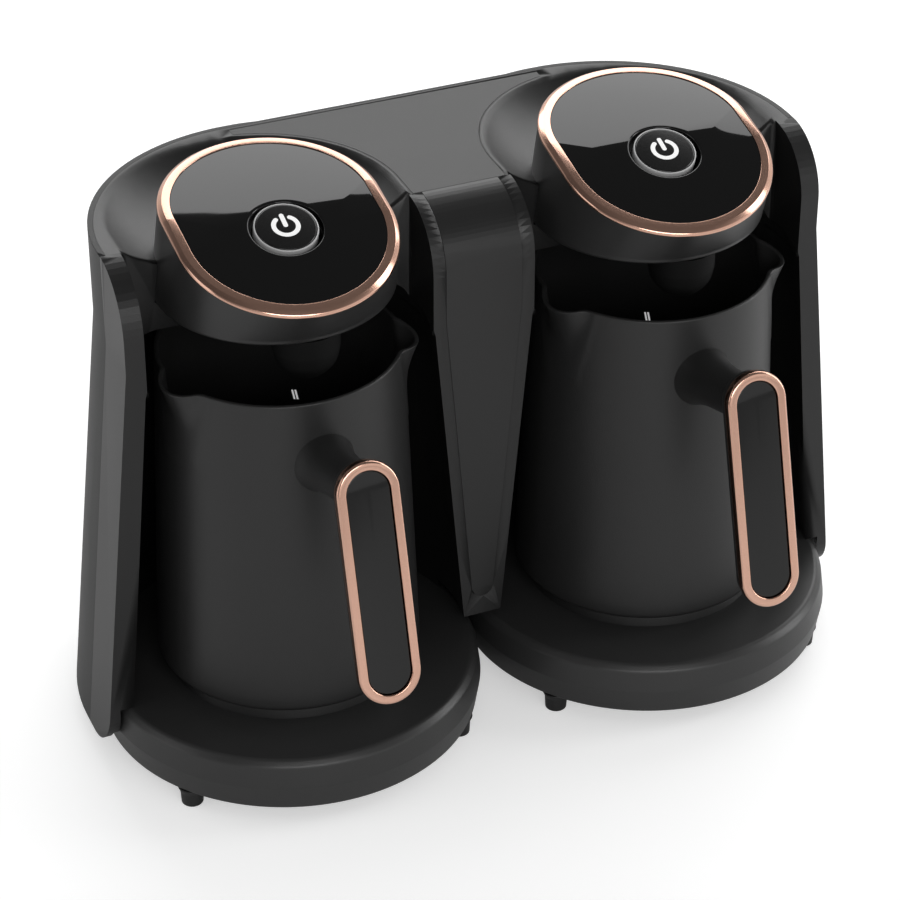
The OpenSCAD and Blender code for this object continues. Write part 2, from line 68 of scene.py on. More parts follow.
SIDES = ("left", "right")
OUTWARD = {"left": -1.0, "right": 1.0}
AXIS = {side: middle(side + "_heater_plate") * (1, 1, 0) for side in SIDES}
HEAD = {side: AXIS[side] - (OUTWARD[side] * 0.9, 0, 0) for side in SIDES}
for side in SIDES:
    print(side, "pot axis", AXIS[side][:2].round(2), "head axis", HEAD[side][:2].round(2))

# %% [markdown]
# A surface is a grid of points. The helper turns rows and columns into quads with whole
# arrays, closes it to poles where a shape ends on its axis (or joins the last row to the
# first, for a hoop), and turns the faces outwards by the sign of the enclosed volume.

# %% From a grid of points to a mesh
FINISH = {}

def dress(piece, body, look):
    """Lets a piece ride on its body and remembers which finish it takes."""
    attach(piece, body)
    FINISH.setdefault(look, []).append(piece)
    return piece

def skin(name, points, body, look, at, first=None, last=None, hoop=False, sharp=40.0):
    """Closed skin through points[i, j]: columns j close on themselves, rows i run along.
    Each quad joins (i, j), (i+1, j), (i+1, j+1), (i, j+1); poles close the end rows."""
    rows, cols = points.shape[:2]
    verts = points.reshape(-1, 3)
    i = np.repeat(np.arange(rows if hoop else rows - 1), cols)
    j = np.tile(np.arange(cols), len(i) // cols)
    n, k = (i + 1) % rows, (j + 1) % cols
    quads = np.stack([i * cols + j, n * cols + j, n * cols + k, i * cols + k], 1)
    ring = np.arange(cols)
    after = (ring + 1) % cols
    fans = [np.zeros((0, 3), int)]
    if first is not None:
        fans.append(np.stack([np.full(cols, len(verts)), ring, after], 1))
        verts = np.vstack([verts, np.asarray(first, float)[None]])
    if last is not None:
        base = (rows - 1) * cols
        fans.append(np.stack([np.full(cols, len(verts)), base + after, base + ring], 1))
        verts = np.vstack([verts, np.asarray(last, float)[None]])
    tris = np.vstack(fans)
    flat = np.vstack([quads[:, [0, 1, 2]], quads[:, [0, 2, 3]], tris])
    corner = verts[flat]
    volume = np.einsum("ij,ij->i", corner[:, 0], np.cross(corner[:, 1], corner[:, 2])).sum()
    if volume < 0:
        quads, tris = quads[:, ::-1], tris[:, ::-1]
    loops = np.concatenate([quads.ravel(), tris.ravel()]).astype(np.int32)
    sizes = np.concatenate([np.full(len(quads), 4), np.full(len(tris), 3)])
    starts = np.concatenate([[0], np.cumsum(sizes)[:-1]]).astype(np.int32)
    mesh = bpy.data.meshes.new(name)
    mesh.vertices.add(len(verts))
    mesh.vertices.foreach_set("co", ((verts + at) / 1000.0).ravel().astype(np.float32))
    mesh.loops.add(len(loops))
    mesh.loops.foreach_set("vertex_index", loops)
    mesh.polygons.add(len(starts))
    mesh.polygons.foreach_set("loop_start", starts)
    mesh.update(calc_edges=True)
    mesh.validate()
    mesh.polygons.foreach_set("use_smooth", np.ones(len(mesh.polygons), bool))
    mesh.set_sharp_from_angle(angle=math.radians(sharp))
    piece = bpy.data.objects.new(name, mesh)
    bpy.context.collection.objects.link(piece)
    return dress(piece, body, look)

# %% Profiles with rounded corners
def soften(corners, radii, steps=7):
    """Polyline with each corner replaced by a circular arc.
    With tangent length t = r / tan(inner angle / 2), the arc from A to B round corner P is
    the conic ((1-s)^2 A + 2 w s (1-s) P + s^2 B) / ((1-s)^2 + 2 w s (1-s) + s^2), where
    w is the sine of half the inner angle."""
    p = np.asarray(corners, float)
    r = np.asarray(radii, float)
    mid = p[1:-1]
    a = p[:-2] - mid
    b = p[2:] - mid
    la = np.linalg.norm(a, axis=1, keepdims=True)
    lb = np.linalg.norm(b, axis=1, keepdims=True)
    a, b = a / la, b / lb
    half = np.arccos(np.clip((a * b).sum(1), -0.9999, 0.9999)) / 2
    t = np.minimum(r / np.tan(half), 0.49 * np.minimum(la, lb)[:, 0])[:, None, None]
    w = np.sin(half)[:, None, None]
    s = np.linspace(0, 1, steps)[None, :, None]
    start = mid[:, None] + a[:, None] * t
    end = mid[:, None] + b[:, None] * t
    top = (1 - s) ** 2 * start + 2 * w * s * (1 - s) * mid[:, None] + s ** 2 * end
    arc = top / ((1 - s) ** 2 + 2 * w * s * (1 - s) + s ** 2)
    return np.vstack([p[:1], arc.reshape(-1, 2), p[-1:]])

def turned(profile, cols=144):
    """Surface of revolution: (r cos v, r sin v, z) for each profile point (r, z)."""
    v = np.linspace(0, 2 * np.pi, cols, endpoint=False)
    r, z = profile[:, 0][:, None], profile[:, 1][:, None]
    return np.stack([r * np.cos(v), r * np.sin(v), z + 0 * v], -1)

def turned_piece(name, profile, body, look, at, lift=None, cols=144, sharp=40.0):
    """A turned solid whose profile starts and ends on the axis."""
    grid = turned(profile[1:-1], cols)
    ends = [np.array([0.0, 0.0, profile[k, 1]]) for k in (0, -1)]
    if lift is not None:
        grid, ends = lift(grid), [lift(e) for e in ends]
    return skin(name, grid, body, look, at, ends[0], ends[1], sharp=sharp)

# %% [markdown]
# The base of each unit is a shallow round tray: flat top, a small rounded shoulder, a
# belt half way down its side, then a tucked-in foot edge. One turned profile gives all of
# it, and the arcs at its corners catch the light as the moulded edges do.

# %% Round bases and hot plates
BASE_R, BASE_TOP, BELT_Z, FOOT_H = 70.0, 28.4, 17.6, 7.5
PLATE_R, SEAT = 44.0, 33.5
for side in SIDES:
    outline = soften([(0, BASE_TOP), (40.2, BASE_TOP), (BASE_R - 3.2, BASE_TOP),
                      (BASE_R - 1.1, BASE_TOP - 2.4), (BASE_R, BELT_Z), (BASE_R - 1.6, FOOT_H),
                      (62.0, FOOT_H + 0.2), (0, FOOT_H + 0.2)],
                     [0.1, 2.4, 2.4, 2.5, 1.6, 0.3])
    tray = turned_piece(side + "_base_tray", outline, "housing", "base_black", AXIS[side], cols=192)
    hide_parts(side + "_base")
    disc = soften([(0, SEAT), (PLATE_R - 1, SEAT), (PLATE_R, BASE_TOP + 0.02),
                   (PLATE_R - 6, BASE_TOP - 6), (0, BASE_TOP - 6)], [0.8, 0.3, 0.3])
    plate = turned_piece(side + "_hot_plate", disc, "housing", "plate_black", AXIS[side])
    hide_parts(side + "_heater_plate")
print("bases and plates", len(FINISH["base_black"]), len(FINISH["plate_black"]))

# %% [markdown]
# A pot is a tapered cup with two small pouring lips. On the real one each lip is pressed
# out as part of a slanting cone. So the radius at every height is the larger of the cup's
# and the cone's, blended softly, and the rim dips a little where the lip stands out.

# %% Pots with their pouring lips
POT_R, RIM_R, RIM_Z, WALL = 47.8, 43.0, 158.4, 1.6
TAPER = (RIM_R - POT_R) / (RIM_Z - SEAT)
LIP_TURN = math.radians(17.0)
LIP_Z, LIP_C, LIP_Q = 130, 32.2, 7.2
LIP_LEAN, LIP_FLARE, LIP_SOFT, LIP_DIP = 0.1016, 0.2044, 2.6, 0.3

def lip_reach(v, z, inset):
    """Distance from the pot axis to the lip cone: c cos d + sqrt(q^2 - c^2 sin^2 d), where c
    is the cone's centre at height z, q its radius less the wall, d the angle from the lip."""
    c = LIP_C + (z - LIP_Z) * LIP_LEAN
    q = LIP_Q + (z - LIP_Z) * LIP_FLARE - inset
    reach = 0
    for turn in (-LIP_TURN, math.pi + LIP_TURN):
        d = v - turn
        inside = np.maximum(q ** 2 - (c * np.sin(d)) ** 2, 0)
        lobe = np.where((np.cos(d) > 0) & (inside > 0), c * np.cos(d) + np.sqrt(inside), 0)
        reach = np.maximum(reach, lobe)
    return reach

def past_rim(v, r):
    """How far past the rim circle a point lies along the nearer lip's direction."""
    out = np.maximum(r * np.cos(v + LIP_TURN), r * np.cos(v - math.pi - LIP_TURN))
    return np.maximum(out - RIM_R, 0)

def cup(cols=288):
    """Profile up the outside, over the rim and down the inside. The radius is the soft
    maximum (a + b + sqrt((a - b)^2 + e^2)) / 2 of cup and lip, less what the softness adds
    far from the lip. The height loses a part of the reach past the rim, times a share that
    grows from 0 to 1 towards the rim."""
    up = np.linspace(SEAT + 6, RIM_Z - 1.2, 72)
    outer = np.stack([POT_R + TAPER * (up - SEAT), up], 1)
    bottom = soften([(0, SEAT), (POT_R - 0.2, SEAT), outer[0]], [3.0], 9)[:-1]
    brim = soften([outer[-1], (RIM_R, RIM_Z), (RIM_R - WALL, RIM_Z),
                   (RIM_R - WALL - 0.02, RIM_Z - 1.2)], [0.6, 0.6], 6)[1:-1]
    down = up[::-1][:-2]
    inner = np.stack([POT_R - WALL + TAPER * (down - SEAT), down], 1)
    floor = soften([inner[-1], (POT_R - WALL - 0.3, SEAT + WALL), (0, SEAT + WALL)], [4.0], 9)[1:]
    profile = np.vstack([bottom, outer, brim, inner, floor])[1:-1]
    v = np.linspace(0, 2 * np.pi, cols, endpoint=False)
    r, z = profile[:, :1], profile[:, 1:]
    inset = np.clip((POT_R + TAPER * (z - SEAT)) - r, 0, WALL)
    inset = np.where(z > SEAT + 8, inset, 0)
    lobe = lip_reach(v, z, inset) * (z > 128)
    soft = LIP_SOFT * (z > SEAT + 8)
    gap = r - lobe
    joined = (r + lobe + np.sqrt(gap ** 2 + soft ** 2)) / 2 - 0.25 * soft * np.exp(-(gap / 4) ** 2)
    rr = np.maximum(np.where(lobe > 0, joined, r), r)
    share = np.clip((z - 136.0) / (RIM_Z - 136.0), 0, 1) ** 2
    zz = z - LIP_DIP * past_rim(v, rr + inset) * share
    return np.stack([rr * np.cos(v), rr * np.sin(v), zz], -1)

for side in SIDES:
    pot = skin(side + "_pot_body", cup(), side + "_pot", "pot_black", AXIS[side],
               (0, 0, SEAT), (0, 0, SEAT + WALL), sharp=50)
    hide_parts(side + "_pot")
print("pots", [o.name for o in FINISH["pot_black"]])

# %% [markdown]
# Grip, ring and lid all share one outline: two half circles joined by straight sides.
# A point of it is r (cos v, sin v) shifted up or down by the half length, so a profile
# of (r, height) pairs sweeps round it just as it would round a circle.

# %% Oval sweeps and tilted frames
def oval(profile, low, high, cols=160):
    """(r cos v, r sin v + high) on the upper half, + low on the lower half, at each height."""
    v = (np.arange(cols) + 0.5) * 2 * np.pi / cols
    shift = np.where(np.sin(v) > 0, high, low)
    r, h = profile[:, 0][:, None], profile[:, 1][:, None]
    return np.stack([r * np.cos(v), r * np.sin(v) + shift, h + 0 * v], -1)

def tilted(angle, origin):
    """Turns points about X by an angle in degrees, then moves them to an origin."""
    c, s = math.cos(math.radians(angle)), math.sin(math.radians(angle))
    turn = np.array([[1, 0, 0], [0, c, -s], [0, s, c]])
    return lambda p: np.asarray(p, float) @ turn.T + np.array(origin)

GRIP_LEAN, GRIP_LONG, GRIP_R = 15.7, 85.5, 11.0
GRIP_A = GRIP_LONG / 2 - GRIP_R
on_grip = tilted(90.0 - GRIP_LEAN, (0.0, -92.42, 116.27))

# %% [markdown]
# The grip is a slim upright paddle: a soft black backing, a bright hoop round it and a
# glossy inset. Its neck leaves the backing near the top and flares where it meets the
# pot, so each line of the neck runs back along its axis until it reaches the pot's cone.

# %% Grips: backing, neck, bright hoop and glossy inset
def to_pot(points, sink):
    """Moves points of the grip back along the neck until x^2 + y^2 = R(z)^2, the pot's cone
    sunk by a little: y = -sqrt(R^2 - x^2), repeated because R changes with height."""
    back = on_grip((0, 0, -1.0)) - on_grip((0, 0, 0))
    p = on_grip(points)
    far = np.zeros(p.shape[:-1])
    for _ in range(8):
        z = p[..., 2] + back[2] * far
        wall = POT_R + TAPER * (z - SEAT) - sink
        far = (-np.sqrt(np.maximum(wall ** 2 - p[..., 0] ** 2, 0)) - p[..., 1]) / back[1]
    return p + back * far[..., None]

def neck_grid(cols=96, rows=26):
    """Circles of radius 7.8 + 0.7 t + 2.6 t^6, which widen near the pot, each
    point lying a share t of the way from the backing to the pot's wall."""
    t = np.linspace(0, 1, rows)[:, None]
    v = np.linspace(0, 2 * np.pi, cols, endpoint=False)
    r = 7.8 + 0.7 * t + 2.6 * t ** 6
    flat = np.stack([r * np.cos(v), GRIP_A - 1 + r * np.sin(v), 0 * r * v], -1)
    start = on_grip(flat + np.array([0, 0, -7.5]))
    return start + (to_pot(flat, 0.5) - start) * t[..., None]

for side in SIDES:
    body = side + "_pot"
    within = GRIP_R - 3.2
    band = soften([(within, -4.0), (within, -0.1), (GRIP_R, -0.1), (GRIP_R, -4.2), (within, -4.2),
                   (within, -4.0)], [0.5, 1.0, 0.8, 0.3], 7)[1:-1]
    hoop = skin(side + "_grip_ring", on_grip(oval(band, -GRIP_A, GRIP_A)), body, "rose_gold",
                AXIS[side], hoop=True)
    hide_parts(side + "_handle_ring")
    face = soften([(1.0, -0.9), (GRIP_R - 3.4, -1.0), (GRIP_R - 3.3, -4.2), (1.0, -4.2)], [0.35, 0.1], 6)
    inset = skin(side + "_grip_inset", on_grip(oval(face, -GRIP_A, GRIP_A)), body, "inset_gloss",
                 AXIS[side], on_grip((0, 0, -0.9)), on_grip((0, 0, -4.2)))
    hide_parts(side + "_handle_inset")
    back = soften([(1.0, -4.25), (GRIP_R - 0.7, -4.25), (GRIP_R - 0.9, -8.5), (1.0, -8.5)],
                  [0.4, 2.2], 7)
    pad = skin(side + "_grip_back", on_grip(oval(back, -GRIP_A, GRIP_A)), body, "soft_black",
               AXIS[side], on_grip((0, 0, -4.25)), on_grip((0, 0, -8.5)))
    neck = neck_grid()
    stem = skin(side + "_grip_neck", neck, body, "soft_black", AXIS[side],
                neck[0].mean(0), neck[-1].mean(0))
    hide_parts(side + "_handle_core")
    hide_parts(side + "_handle_core")
print("grips", len(FINISH["rose_gold"]), "necks reach", neck[-1].min(0).round(1), neck[-1].max(0).round(1))

# %% [markdown]
# The lid of each head is folded: its front half leans more than its rear half, and the
# two meet in a soft bend just in front of the pot axis. In a frame tilted half way
# between them, the fold is a shallow roof, and rounding that roof gives the soft bend.

# %% The folded lid
FRONT, REAR, LID_R, RING_W = 18.4, 7.7, 38.5, 4.5
LOW, HIGH, CROWN, LIFT = -6.85, 7.7, 1.0, 1.8
FOLD = (0.0, -1.7, 207.2)
HALF = math.radians((FRONT - REAR) / 2)
on_mid = tilted((FRONT + REAR) / 2, FOLD)
on_front = tilted(FRONT, FOLD)
KEY = (0.0, -6.7, LIFT + 0.9)

def bend(s, soft=2.5):
    """Roof of the fold: -tan(half angle) * sqrt(s^2 + soft^2) at a distance s from it."""
    return -math.tan(HALF) * np.sqrt(s ** 2 + soft ** 2)

def on_lid(p):
    """Lays flat points (x, s, h) on the folded lid."""
    p = np.array(p, float)
    p[..., 2] += bend(p[..., 1])
    return on_mid(p)

def on_key(p):
    """Places points round the button's axis, which stands square to the front half."""
    return on_front(np.asarray(p, float) + np.array(KEY))

def dome(x, s, edge=LIFT - 0.35):
    """Height of the glossy lid: edge + crown (1 - k^2), k the distance from the lid's
    spine over its half width."""
    reach = np.maximum(np.maximum(LOW - s, s - HIGH), 0)
    k = np.sqrt(x ** 2 + reach ** 2) / (LID_R - RING_W)
    return edge + CROWN * (1 - k ** 2)

# %% [markdown]
# The bright ring has a flat face, level with the lid, and a rounded band that falls away
# outside. On a real one it is a plated plastic moulding. One closed profile sweeps round
# the oval and is laid on the fold with it.

# %% Bright rings round the lids
for side in SIDES:
    inner = LID_R - RING_W
    rim = soften([(inner, -2.4), (inner, LIFT), (inner + 2.7, LIFT), (LID_R - 0.25, 0.7),
                  (LID_R, -0.2), (LID_R - 0.4, -0.7), (inner + 2.4, -2.4), (inner, -2.4)],
                 [0.2, 0.35, 1.6, 0.5, 0.3, 0.3], 7)[1:-1]
    hoop = skin(side + "_lid_ring", on_lid(oval(rim, LOW, HIGH, 240)), "housing", "rose_gold",
                HEAD[side], hoop=True, sharp=60)
    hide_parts(side + "_head_ring")

# %% [markdown]
# The glossy lid has a round well for the button. Its top is spanned between two curves,
# the edge of that well and the oval edge of the lid, and every point is lifted onto the
# crowned, folded surface. A rolled edge leads down into the well along the button's axis.

# %% Glossy lids with the button's well
WELL_R = 12.6

def lid_grid(cols=240):
    """Rows from the foot of the well up its wall, over a rolled edge of radius 0.7, out
    across the lid to its oval edge, down its side and back underneath."""
    v = (np.arange(cols) + 0.5) * 2 * np.pi / cols
    centre = KEY[1] * math.cos(HALF) - KEY[2] * math.sin(HALF)
    x0, s0 = np.cos(v), np.sin(v) * math.cos(HALF)
    depth = np.array([4.4, 3.0, 1.8, 0.9])[:, None]
    wall_s = centre + WELL_R * s0 + depth * math.sin(HALF)
    wall = np.stack([WELL_R * x0 + 0 * depth, wall_s, dome(WELL_R * x0, wall_s) - depth], -1)
    a = np.linspace(0, np.pi / 2, 7)[:, None]
    r = WELL_R + 0.7 * (1 - np.cos(a))
    roll_s = centre + r * s0
    roll = np.stack([r * x0, roll_s, dome(r * x0, roll_s) - 0.7 * (1 - np.sin(a))], -1)
    outer_r = LID_R - RING_W - 0.15
    end_x, end_s = outer_r * np.cos(v), outer_r * np.sin(v) + np.where(np.sin(v) > 0, HIGH, LOW)
    t = np.linspace(0, 1, 46)[1:, None]
    x = roll[-1, :, 0] * (1 - t) + end_x * t
    s = roll[-1, :, 1] * (1 - t) + end_s * t
    top = np.stack([x, s, dome(x, s)], -1)
    drop = np.array([0.15, 0.5, 3.0])[:, None]
    skirt = np.stack([end_x * (1 + 0 * drop), end_s * (1 + 0 * drop), dome(end_x, end_s) - drop], -1)
    return on_lid(np.concatenate([wall, roll, top, skirt], 0))

for side in SIDES:
    lid = skin(side + "_lid", lid_grid(), "housing", "black_gloss", HEAD[side], hoop=True, sharp=50)
    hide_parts(side + "_head_panel")
print("lids", lid.data.name, len(lid.data.polygons))

# %% [markdown]
# The button is a low round cap with a printed power mark and a thin ring of light round
# it. The mark is a broken circle and a bar, each a thin stroke with round ends that stands
# a hair above the cap, so that it is printed rather than carved.

# %% Buttons, their rings of light and the power mark
CAP_R, MARK_R, MARK_W = 10.45, 4.15, 1.6

def stroke(path, width, low, high):
    """Rounded bar along a path: at each path point a rectangle between low and high whose
    half width w sqrt(1 - e^2) closes to the ends, e running from -1 to 1 past the ends."""
    p = np.asarray(path, float)
    step = np.gradient(p, axis=0)
    step /= np.linalg.norm(step, axis=1, keepdims=True)
    a = np.linspace(-np.pi / 2, 0, 7)[:-1]
    head = p[0] + step[0] * (np.sin(a)[:, None] * width / 2)
    tail = p[-1] - step[-1] * (np.sin(a[::-1])[:, None] * width / 2)
    line = np.vstack([head, p, tail])
    along = np.vstack([np.repeat(step[:1], 6, 0), step, np.repeat(step[-1:], 6, 0)])
    half = np.concatenate([np.cos(a), np.ones(len(p)), np.cos(a[::-1])])[:, None] * width / 2 + 0.002
    side_way = np.stack([-along[:, 1], along[:, 0]], 1)
    left, right = line + side_way * half, line - side_way * half
    ring = np.stack([np.c_[left, np.full(len(line), high)], np.c_[left, np.full(len(line), low)],
                     np.c_[right, np.full(len(line), low)], np.c_[right, np.full(len(line), high)]], 1)
    return ring

for side in SIDES:
    cap = soften([(0, -0.2), (CAP_R - 0.15, -0.35), (CAP_R - 0.05, -5.0), (0, -5.0)], [0.55, 0.2], 7)
    button = turned_piece(side + "_button_cap", cap, side + "_button", "button_black", HEAD[side], on_key)
    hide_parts(side + "_button")
    lamp = soften([(CAP_R + 0.06, -4.8), (CAP_R + 0.06, -0.5), (CAP_R + 0.58, -0.65),
                   (CAP_R + 0.7, -4.8), (CAP_R + 0.06, -4.8)], [0.12, 0.2, 0.1], 5)[:-1]
    glow = skin(side + "_light_ring", on_key(turned(lamp, 192)), side + "_button",
                "button_light", HEAD[side], hoop=True)
    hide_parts(side + "_button_ring")
    a = np.radians(np.linspace(90 + 36, 90 + 324, 64))
    arc = np.stack([MARK_R * np.cos(a), 0.4 + MARK_R * np.sin(a)], 1)
    bar = np.stack([np.zeros(12), np.linspace(0.6, 5.2, 12)], 1)
    for part, path in (("arc", arc), ("bar", bar)):
        ring = stroke(path, MARK_W, -0.36, -0.16)
        mark = skin(side + "_mark_" + part, on_key(ring), side + "_button", "mark_grey",
                    HEAD[side], on_key(ring[0].mean(0)), on_key(ring[-1].mean(0)), sharp=30)
        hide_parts(side + "_button")
print("button pieces", [o.name for o in FINISH["mark_grey"]])

# %% [markdown]
# Under the lid the head is a moulded cup. Its underside is round and its top is the oval
# of the lid, so each of its lines is a straight loft between the two, with a small radius
# at the lower edge, a lip under the ring, and an inner wall. The dark hood that shields
# the foam sensor hangs from its underside.

# %% Head shells and sensor hoods
HEAD_R, HEAD_BACK, HEAD_LOW, HEAD_FLOOR = 41.9, 5.3, 178.0, 180.6
HOOD_R, HOOD_BACK = 11.7, 13.9 - LID_R

def head_grid(cols=240):
    """Lower circle of radius HEAD_R about (0, HEAD_BACK, HEAD_LOW) joined to the lid's oval;
    rows blend (1 - t) lower + t upper, after six short rows that round the lower edge."""
    v = (np.arange(cols) + 0.5) * 2 * np.pi / cols
    def low(r, z):
        return np.stack([r * np.cos(v), HEAD_BACK + r * np.sin(v), 0 * v + z], -1)
    def high(r, h):
        s = r * np.sin(v) + np.where(np.sin(v) > 0, HIGH, LOW)
        return on_lid(np.stack([r * np.cos(v), s, 0 * v + h], -1))
    a = np.linspace(0, np.pi / 2, 6)
    foot = [low(HEAD_R - 1.6 * (1 - math.sin(q)), HEAD_LOW + 1.6 * (1 - math.cos(q))) for q in a]
    t = np.linspace(0, 1, 14)[1:, None, None]
    wall = list(foot[-1] * (1 - t) + high(LID_R - 0.45, -0.62) * t)
    lip = [high(LID_R - 2.15, -2.45), high(LID_R - 8.0, -3.02), high(LID_R - 8.0, -6.0)]
    inner = [high(LID_R - 3.0, -6.2), low(HEAD_R - 2.5, HEAD_FLOOR), low(12.0, HEAD_FLOOR)]
    return np.array([low(14.0, HEAD_LOW)] + foot + wall + lip + inner)

for side in SIDES:
    head = skin(side + "_head_cup", head_grid(), "housing", "head_satin", HEAD[side],
                (0, HEAD_BACK, HEAD_LOW), (0, HEAD_BACK, HEAD_FLOOR), sharp=35)
    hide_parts(side + "_head_shell")
    eye = soften([(3.0, 159.3), (7.0, 161.2), (10.6, 165.3), (HOOD_R, 170.6), (HOOD_R, HEAD_LOW),
                  (HOOD_R - 1.8, HEAD_LOW), (HOOD_R - 1.8, 171.0), (3.0, 162.0), (3.0, 159.3)],
                 [8, 8, 6, 0.2, 0.2, 3.0, 0.2], 7)[:-1]
    hood = skin(side + "_foam_hood", turned(eye, 120), "housing", "hood_dark",
                HEAD[side] + (0, HOOD_BACK, 0), hoop=True, sharp=50)
    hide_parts(side + "_sensor_hood")
print("heads", len(FINISH["head_satin"]))

# %% [markdown]
# The feet are small rubber posts with a flared top; four stand under each base.

# %% Rubber feet
POST_H, POST_X, POST_Y = 7.6, 51.5, 37.5
for side in SIDES:
    for k, (x, y) in enumerate(((-1, -1), (-1, 1), (1, -1), (1, 1))):
        post = soften([(0, POST_H), (5.2, POST_H), (4.2, 5.4), (3.9, 0.0), (0, 0.0)], [0.4, 3.0, 0.5], 6)
        foot = turned_piece(side + "_foot_" + str(k + 1), post, "housing", "soft_black",
                            AXIS[side] + (x * POST_X, y * POST_Y, 0), cols=48)
        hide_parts("rubber_feet")
print("feet on the floor")

# %% [markdown]
# The housing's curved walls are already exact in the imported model, but as loose triangles.
# A copy is merged so that its shading runs on across them. The front moulding, the deck
# and the bay walls are cut apart only for the physics, so the copies are joined there and
# the hidden faces on the two cuts are taken out. Normals weighted by area keep the large
# walls calm where thin triangles fan out from a screw hole or run along a narrow edge.

# %% Merged copies of moulded nodes
def moulded(name, sources, look, body="housing", cuts=(), sharp=32.0):
    """Joins the meshes of nodes, merges points closer than 4 micrometres, drops faces that
    lie wholly in a cut (|coordinate - cut| < 0.02 mm at all their corners), and merges the
    points along the cuts, which lie up to 15 micrometres apart."""
    bm = bmesh.new()
    for source in sources:
        bm.from_mesh(nodes[source].data)
    bmesh.ops.remove_doubles(bm, verts=bm.verts, dist=4e-6)
    hidden = [f for f in bm.faces for axis, at in cuts
              if all(abs(v.co[axis] - at) < 2e-5 for v in f.verts)]
    bmesh.ops.delete(bm, geom=hidden, context="FACES")
    bmesh.ops.remove_doubles(bm, verts=bm.verts, dist=1.5e-5)
    mesh = bpy.data.meshes.new(name)
    bm.to_mesh(mesh)
    open_edges = sum(1 for e in bm.edges if len(e.link_faces) != 2)
    bm.free()
    mesh.polygons.foreach_set("use_smooth", np.ones(len(mesh.polygons), bool))
    mesh.set_sharp_from_angle(angle=math.radians(sharp))
    piece = bpy.data.objects.new(name, mesh)
    bpy.context.collection.objects.link(piece)
    even = piece.modifiers.new("even shading", "WEIGHTED_NORMAL")
    even.mode, even.weight, even.keep_sharp = "FACE_AREA", 80, True
    print(name, len(mesh.polygons), "faces, hidden", len(hidden), "open edges", open_edges)
    dress(piece, body, look)
    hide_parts(*sources)
    return piece

CUT_BEHIND_AXIS, CUT_Z = 0.012, 0.17925
cut_y = AXIS["left"][1] / 1000 + CUT_BEHIND_AXIS
moulded("housing_moulding", ["front_body", "deck_frame", "left_bay_liner", "right_bay_liner"],
        "housing_satin", cuts=((1, cut_y), (2, CUT_Z)))
moulded("rear_cover", ["rear_shell"], "shell_satin")
moulded("deck_plate", ["top_panel"], "deck_grey")
moulded("pillar_cover", ["pillar_panel"], "pillar_grey")

# %% [markdown]
# Each pot has two level strokes inside its rear wall, printed in white. They are thin
# plates bent to the wall: a point at angle v and height z lies on the wall's radius, and
# v grows with z, because the strokes lean.

# %% Level strokes inside the pots
LEVEL_Z = 109.4
for side in SIDES:
    for k, v0 in enumerate((63.2, 64.7)):
        z = np.linspace(LEVEL_Z - 2.0, LEVEL_Z + 2.0, 5)
        r = POT_R - WALL + TAPER * (z - SEAT)
        v = np.radians(v0 + 0.26 * (z[:, None] - LEVEL_Z) + np.array([-0.42, 0.42]))
        near = np.stack([r[:, None] * np.cos(v), r[:, None] * np.sin(v), z[:, None] + 0 * v], -1)
        proud, sunk = 1 - 0.10 / 42, 1 + 0.05 / 42
        ring = np.concatenate([near * (proud, proud, 1), (near * (sunk, sunk, 1))[:, ::-1]], 1)
        line = skin(side + "_level_" + str(k + 1), ring, side + "_pot", "mark_white", AXIS[side],
                    ring[0].mean(0), ring[-1].mean(0), sharp=30)
print("level strokes", len(FINISH["mark_white"]))

# %% [markdown]
# Finishes. One small class wraps a socket so that shader maths reads as plain
# expressions, and one method adds any other node.

# %% Shader maths as expressions
class Wire:
    """A shader socket with arithmetic: each operator adds one Math node."""
    def __init__(self, tree, socket):
        self.tree, self.socket = tree, socket
    def join(self, operation, a, b):
        node = self.tree.nodes.new("ShaderNodeMath")
        node.operation = operation
        for slot, value in zip(node.inputs, (a, b)):
            if isinstance(value, Wire):
                self.tree.links.new(value.socket, slot)
            else:
                slot.default_value = value
        return Wire(self.tree, node.outputs[0])
    def __add__(self, o): return self.join("ADD", self, o)
    def __radd__(self, o): return self.join("ADD", o, self)
    def __sub__(self, o): return self.join("SUBTRACT", self, o)
    def __rsub__(self, o): return self.join("SUBTRACT", o, self)
    def __mul__(self, o): return self.join("MULTIPLY", self, o)
    def __rmul__(self, o): return self.join("MULTIPLY", o, self)
    def __truediv__(self, o): return self.join("DIVIDE", self, o)
    def __rtruediv__(self, o): return self.join("DIVIDE", o, self)
    def __pow__(self, o): return self.join("POWER", self, o)

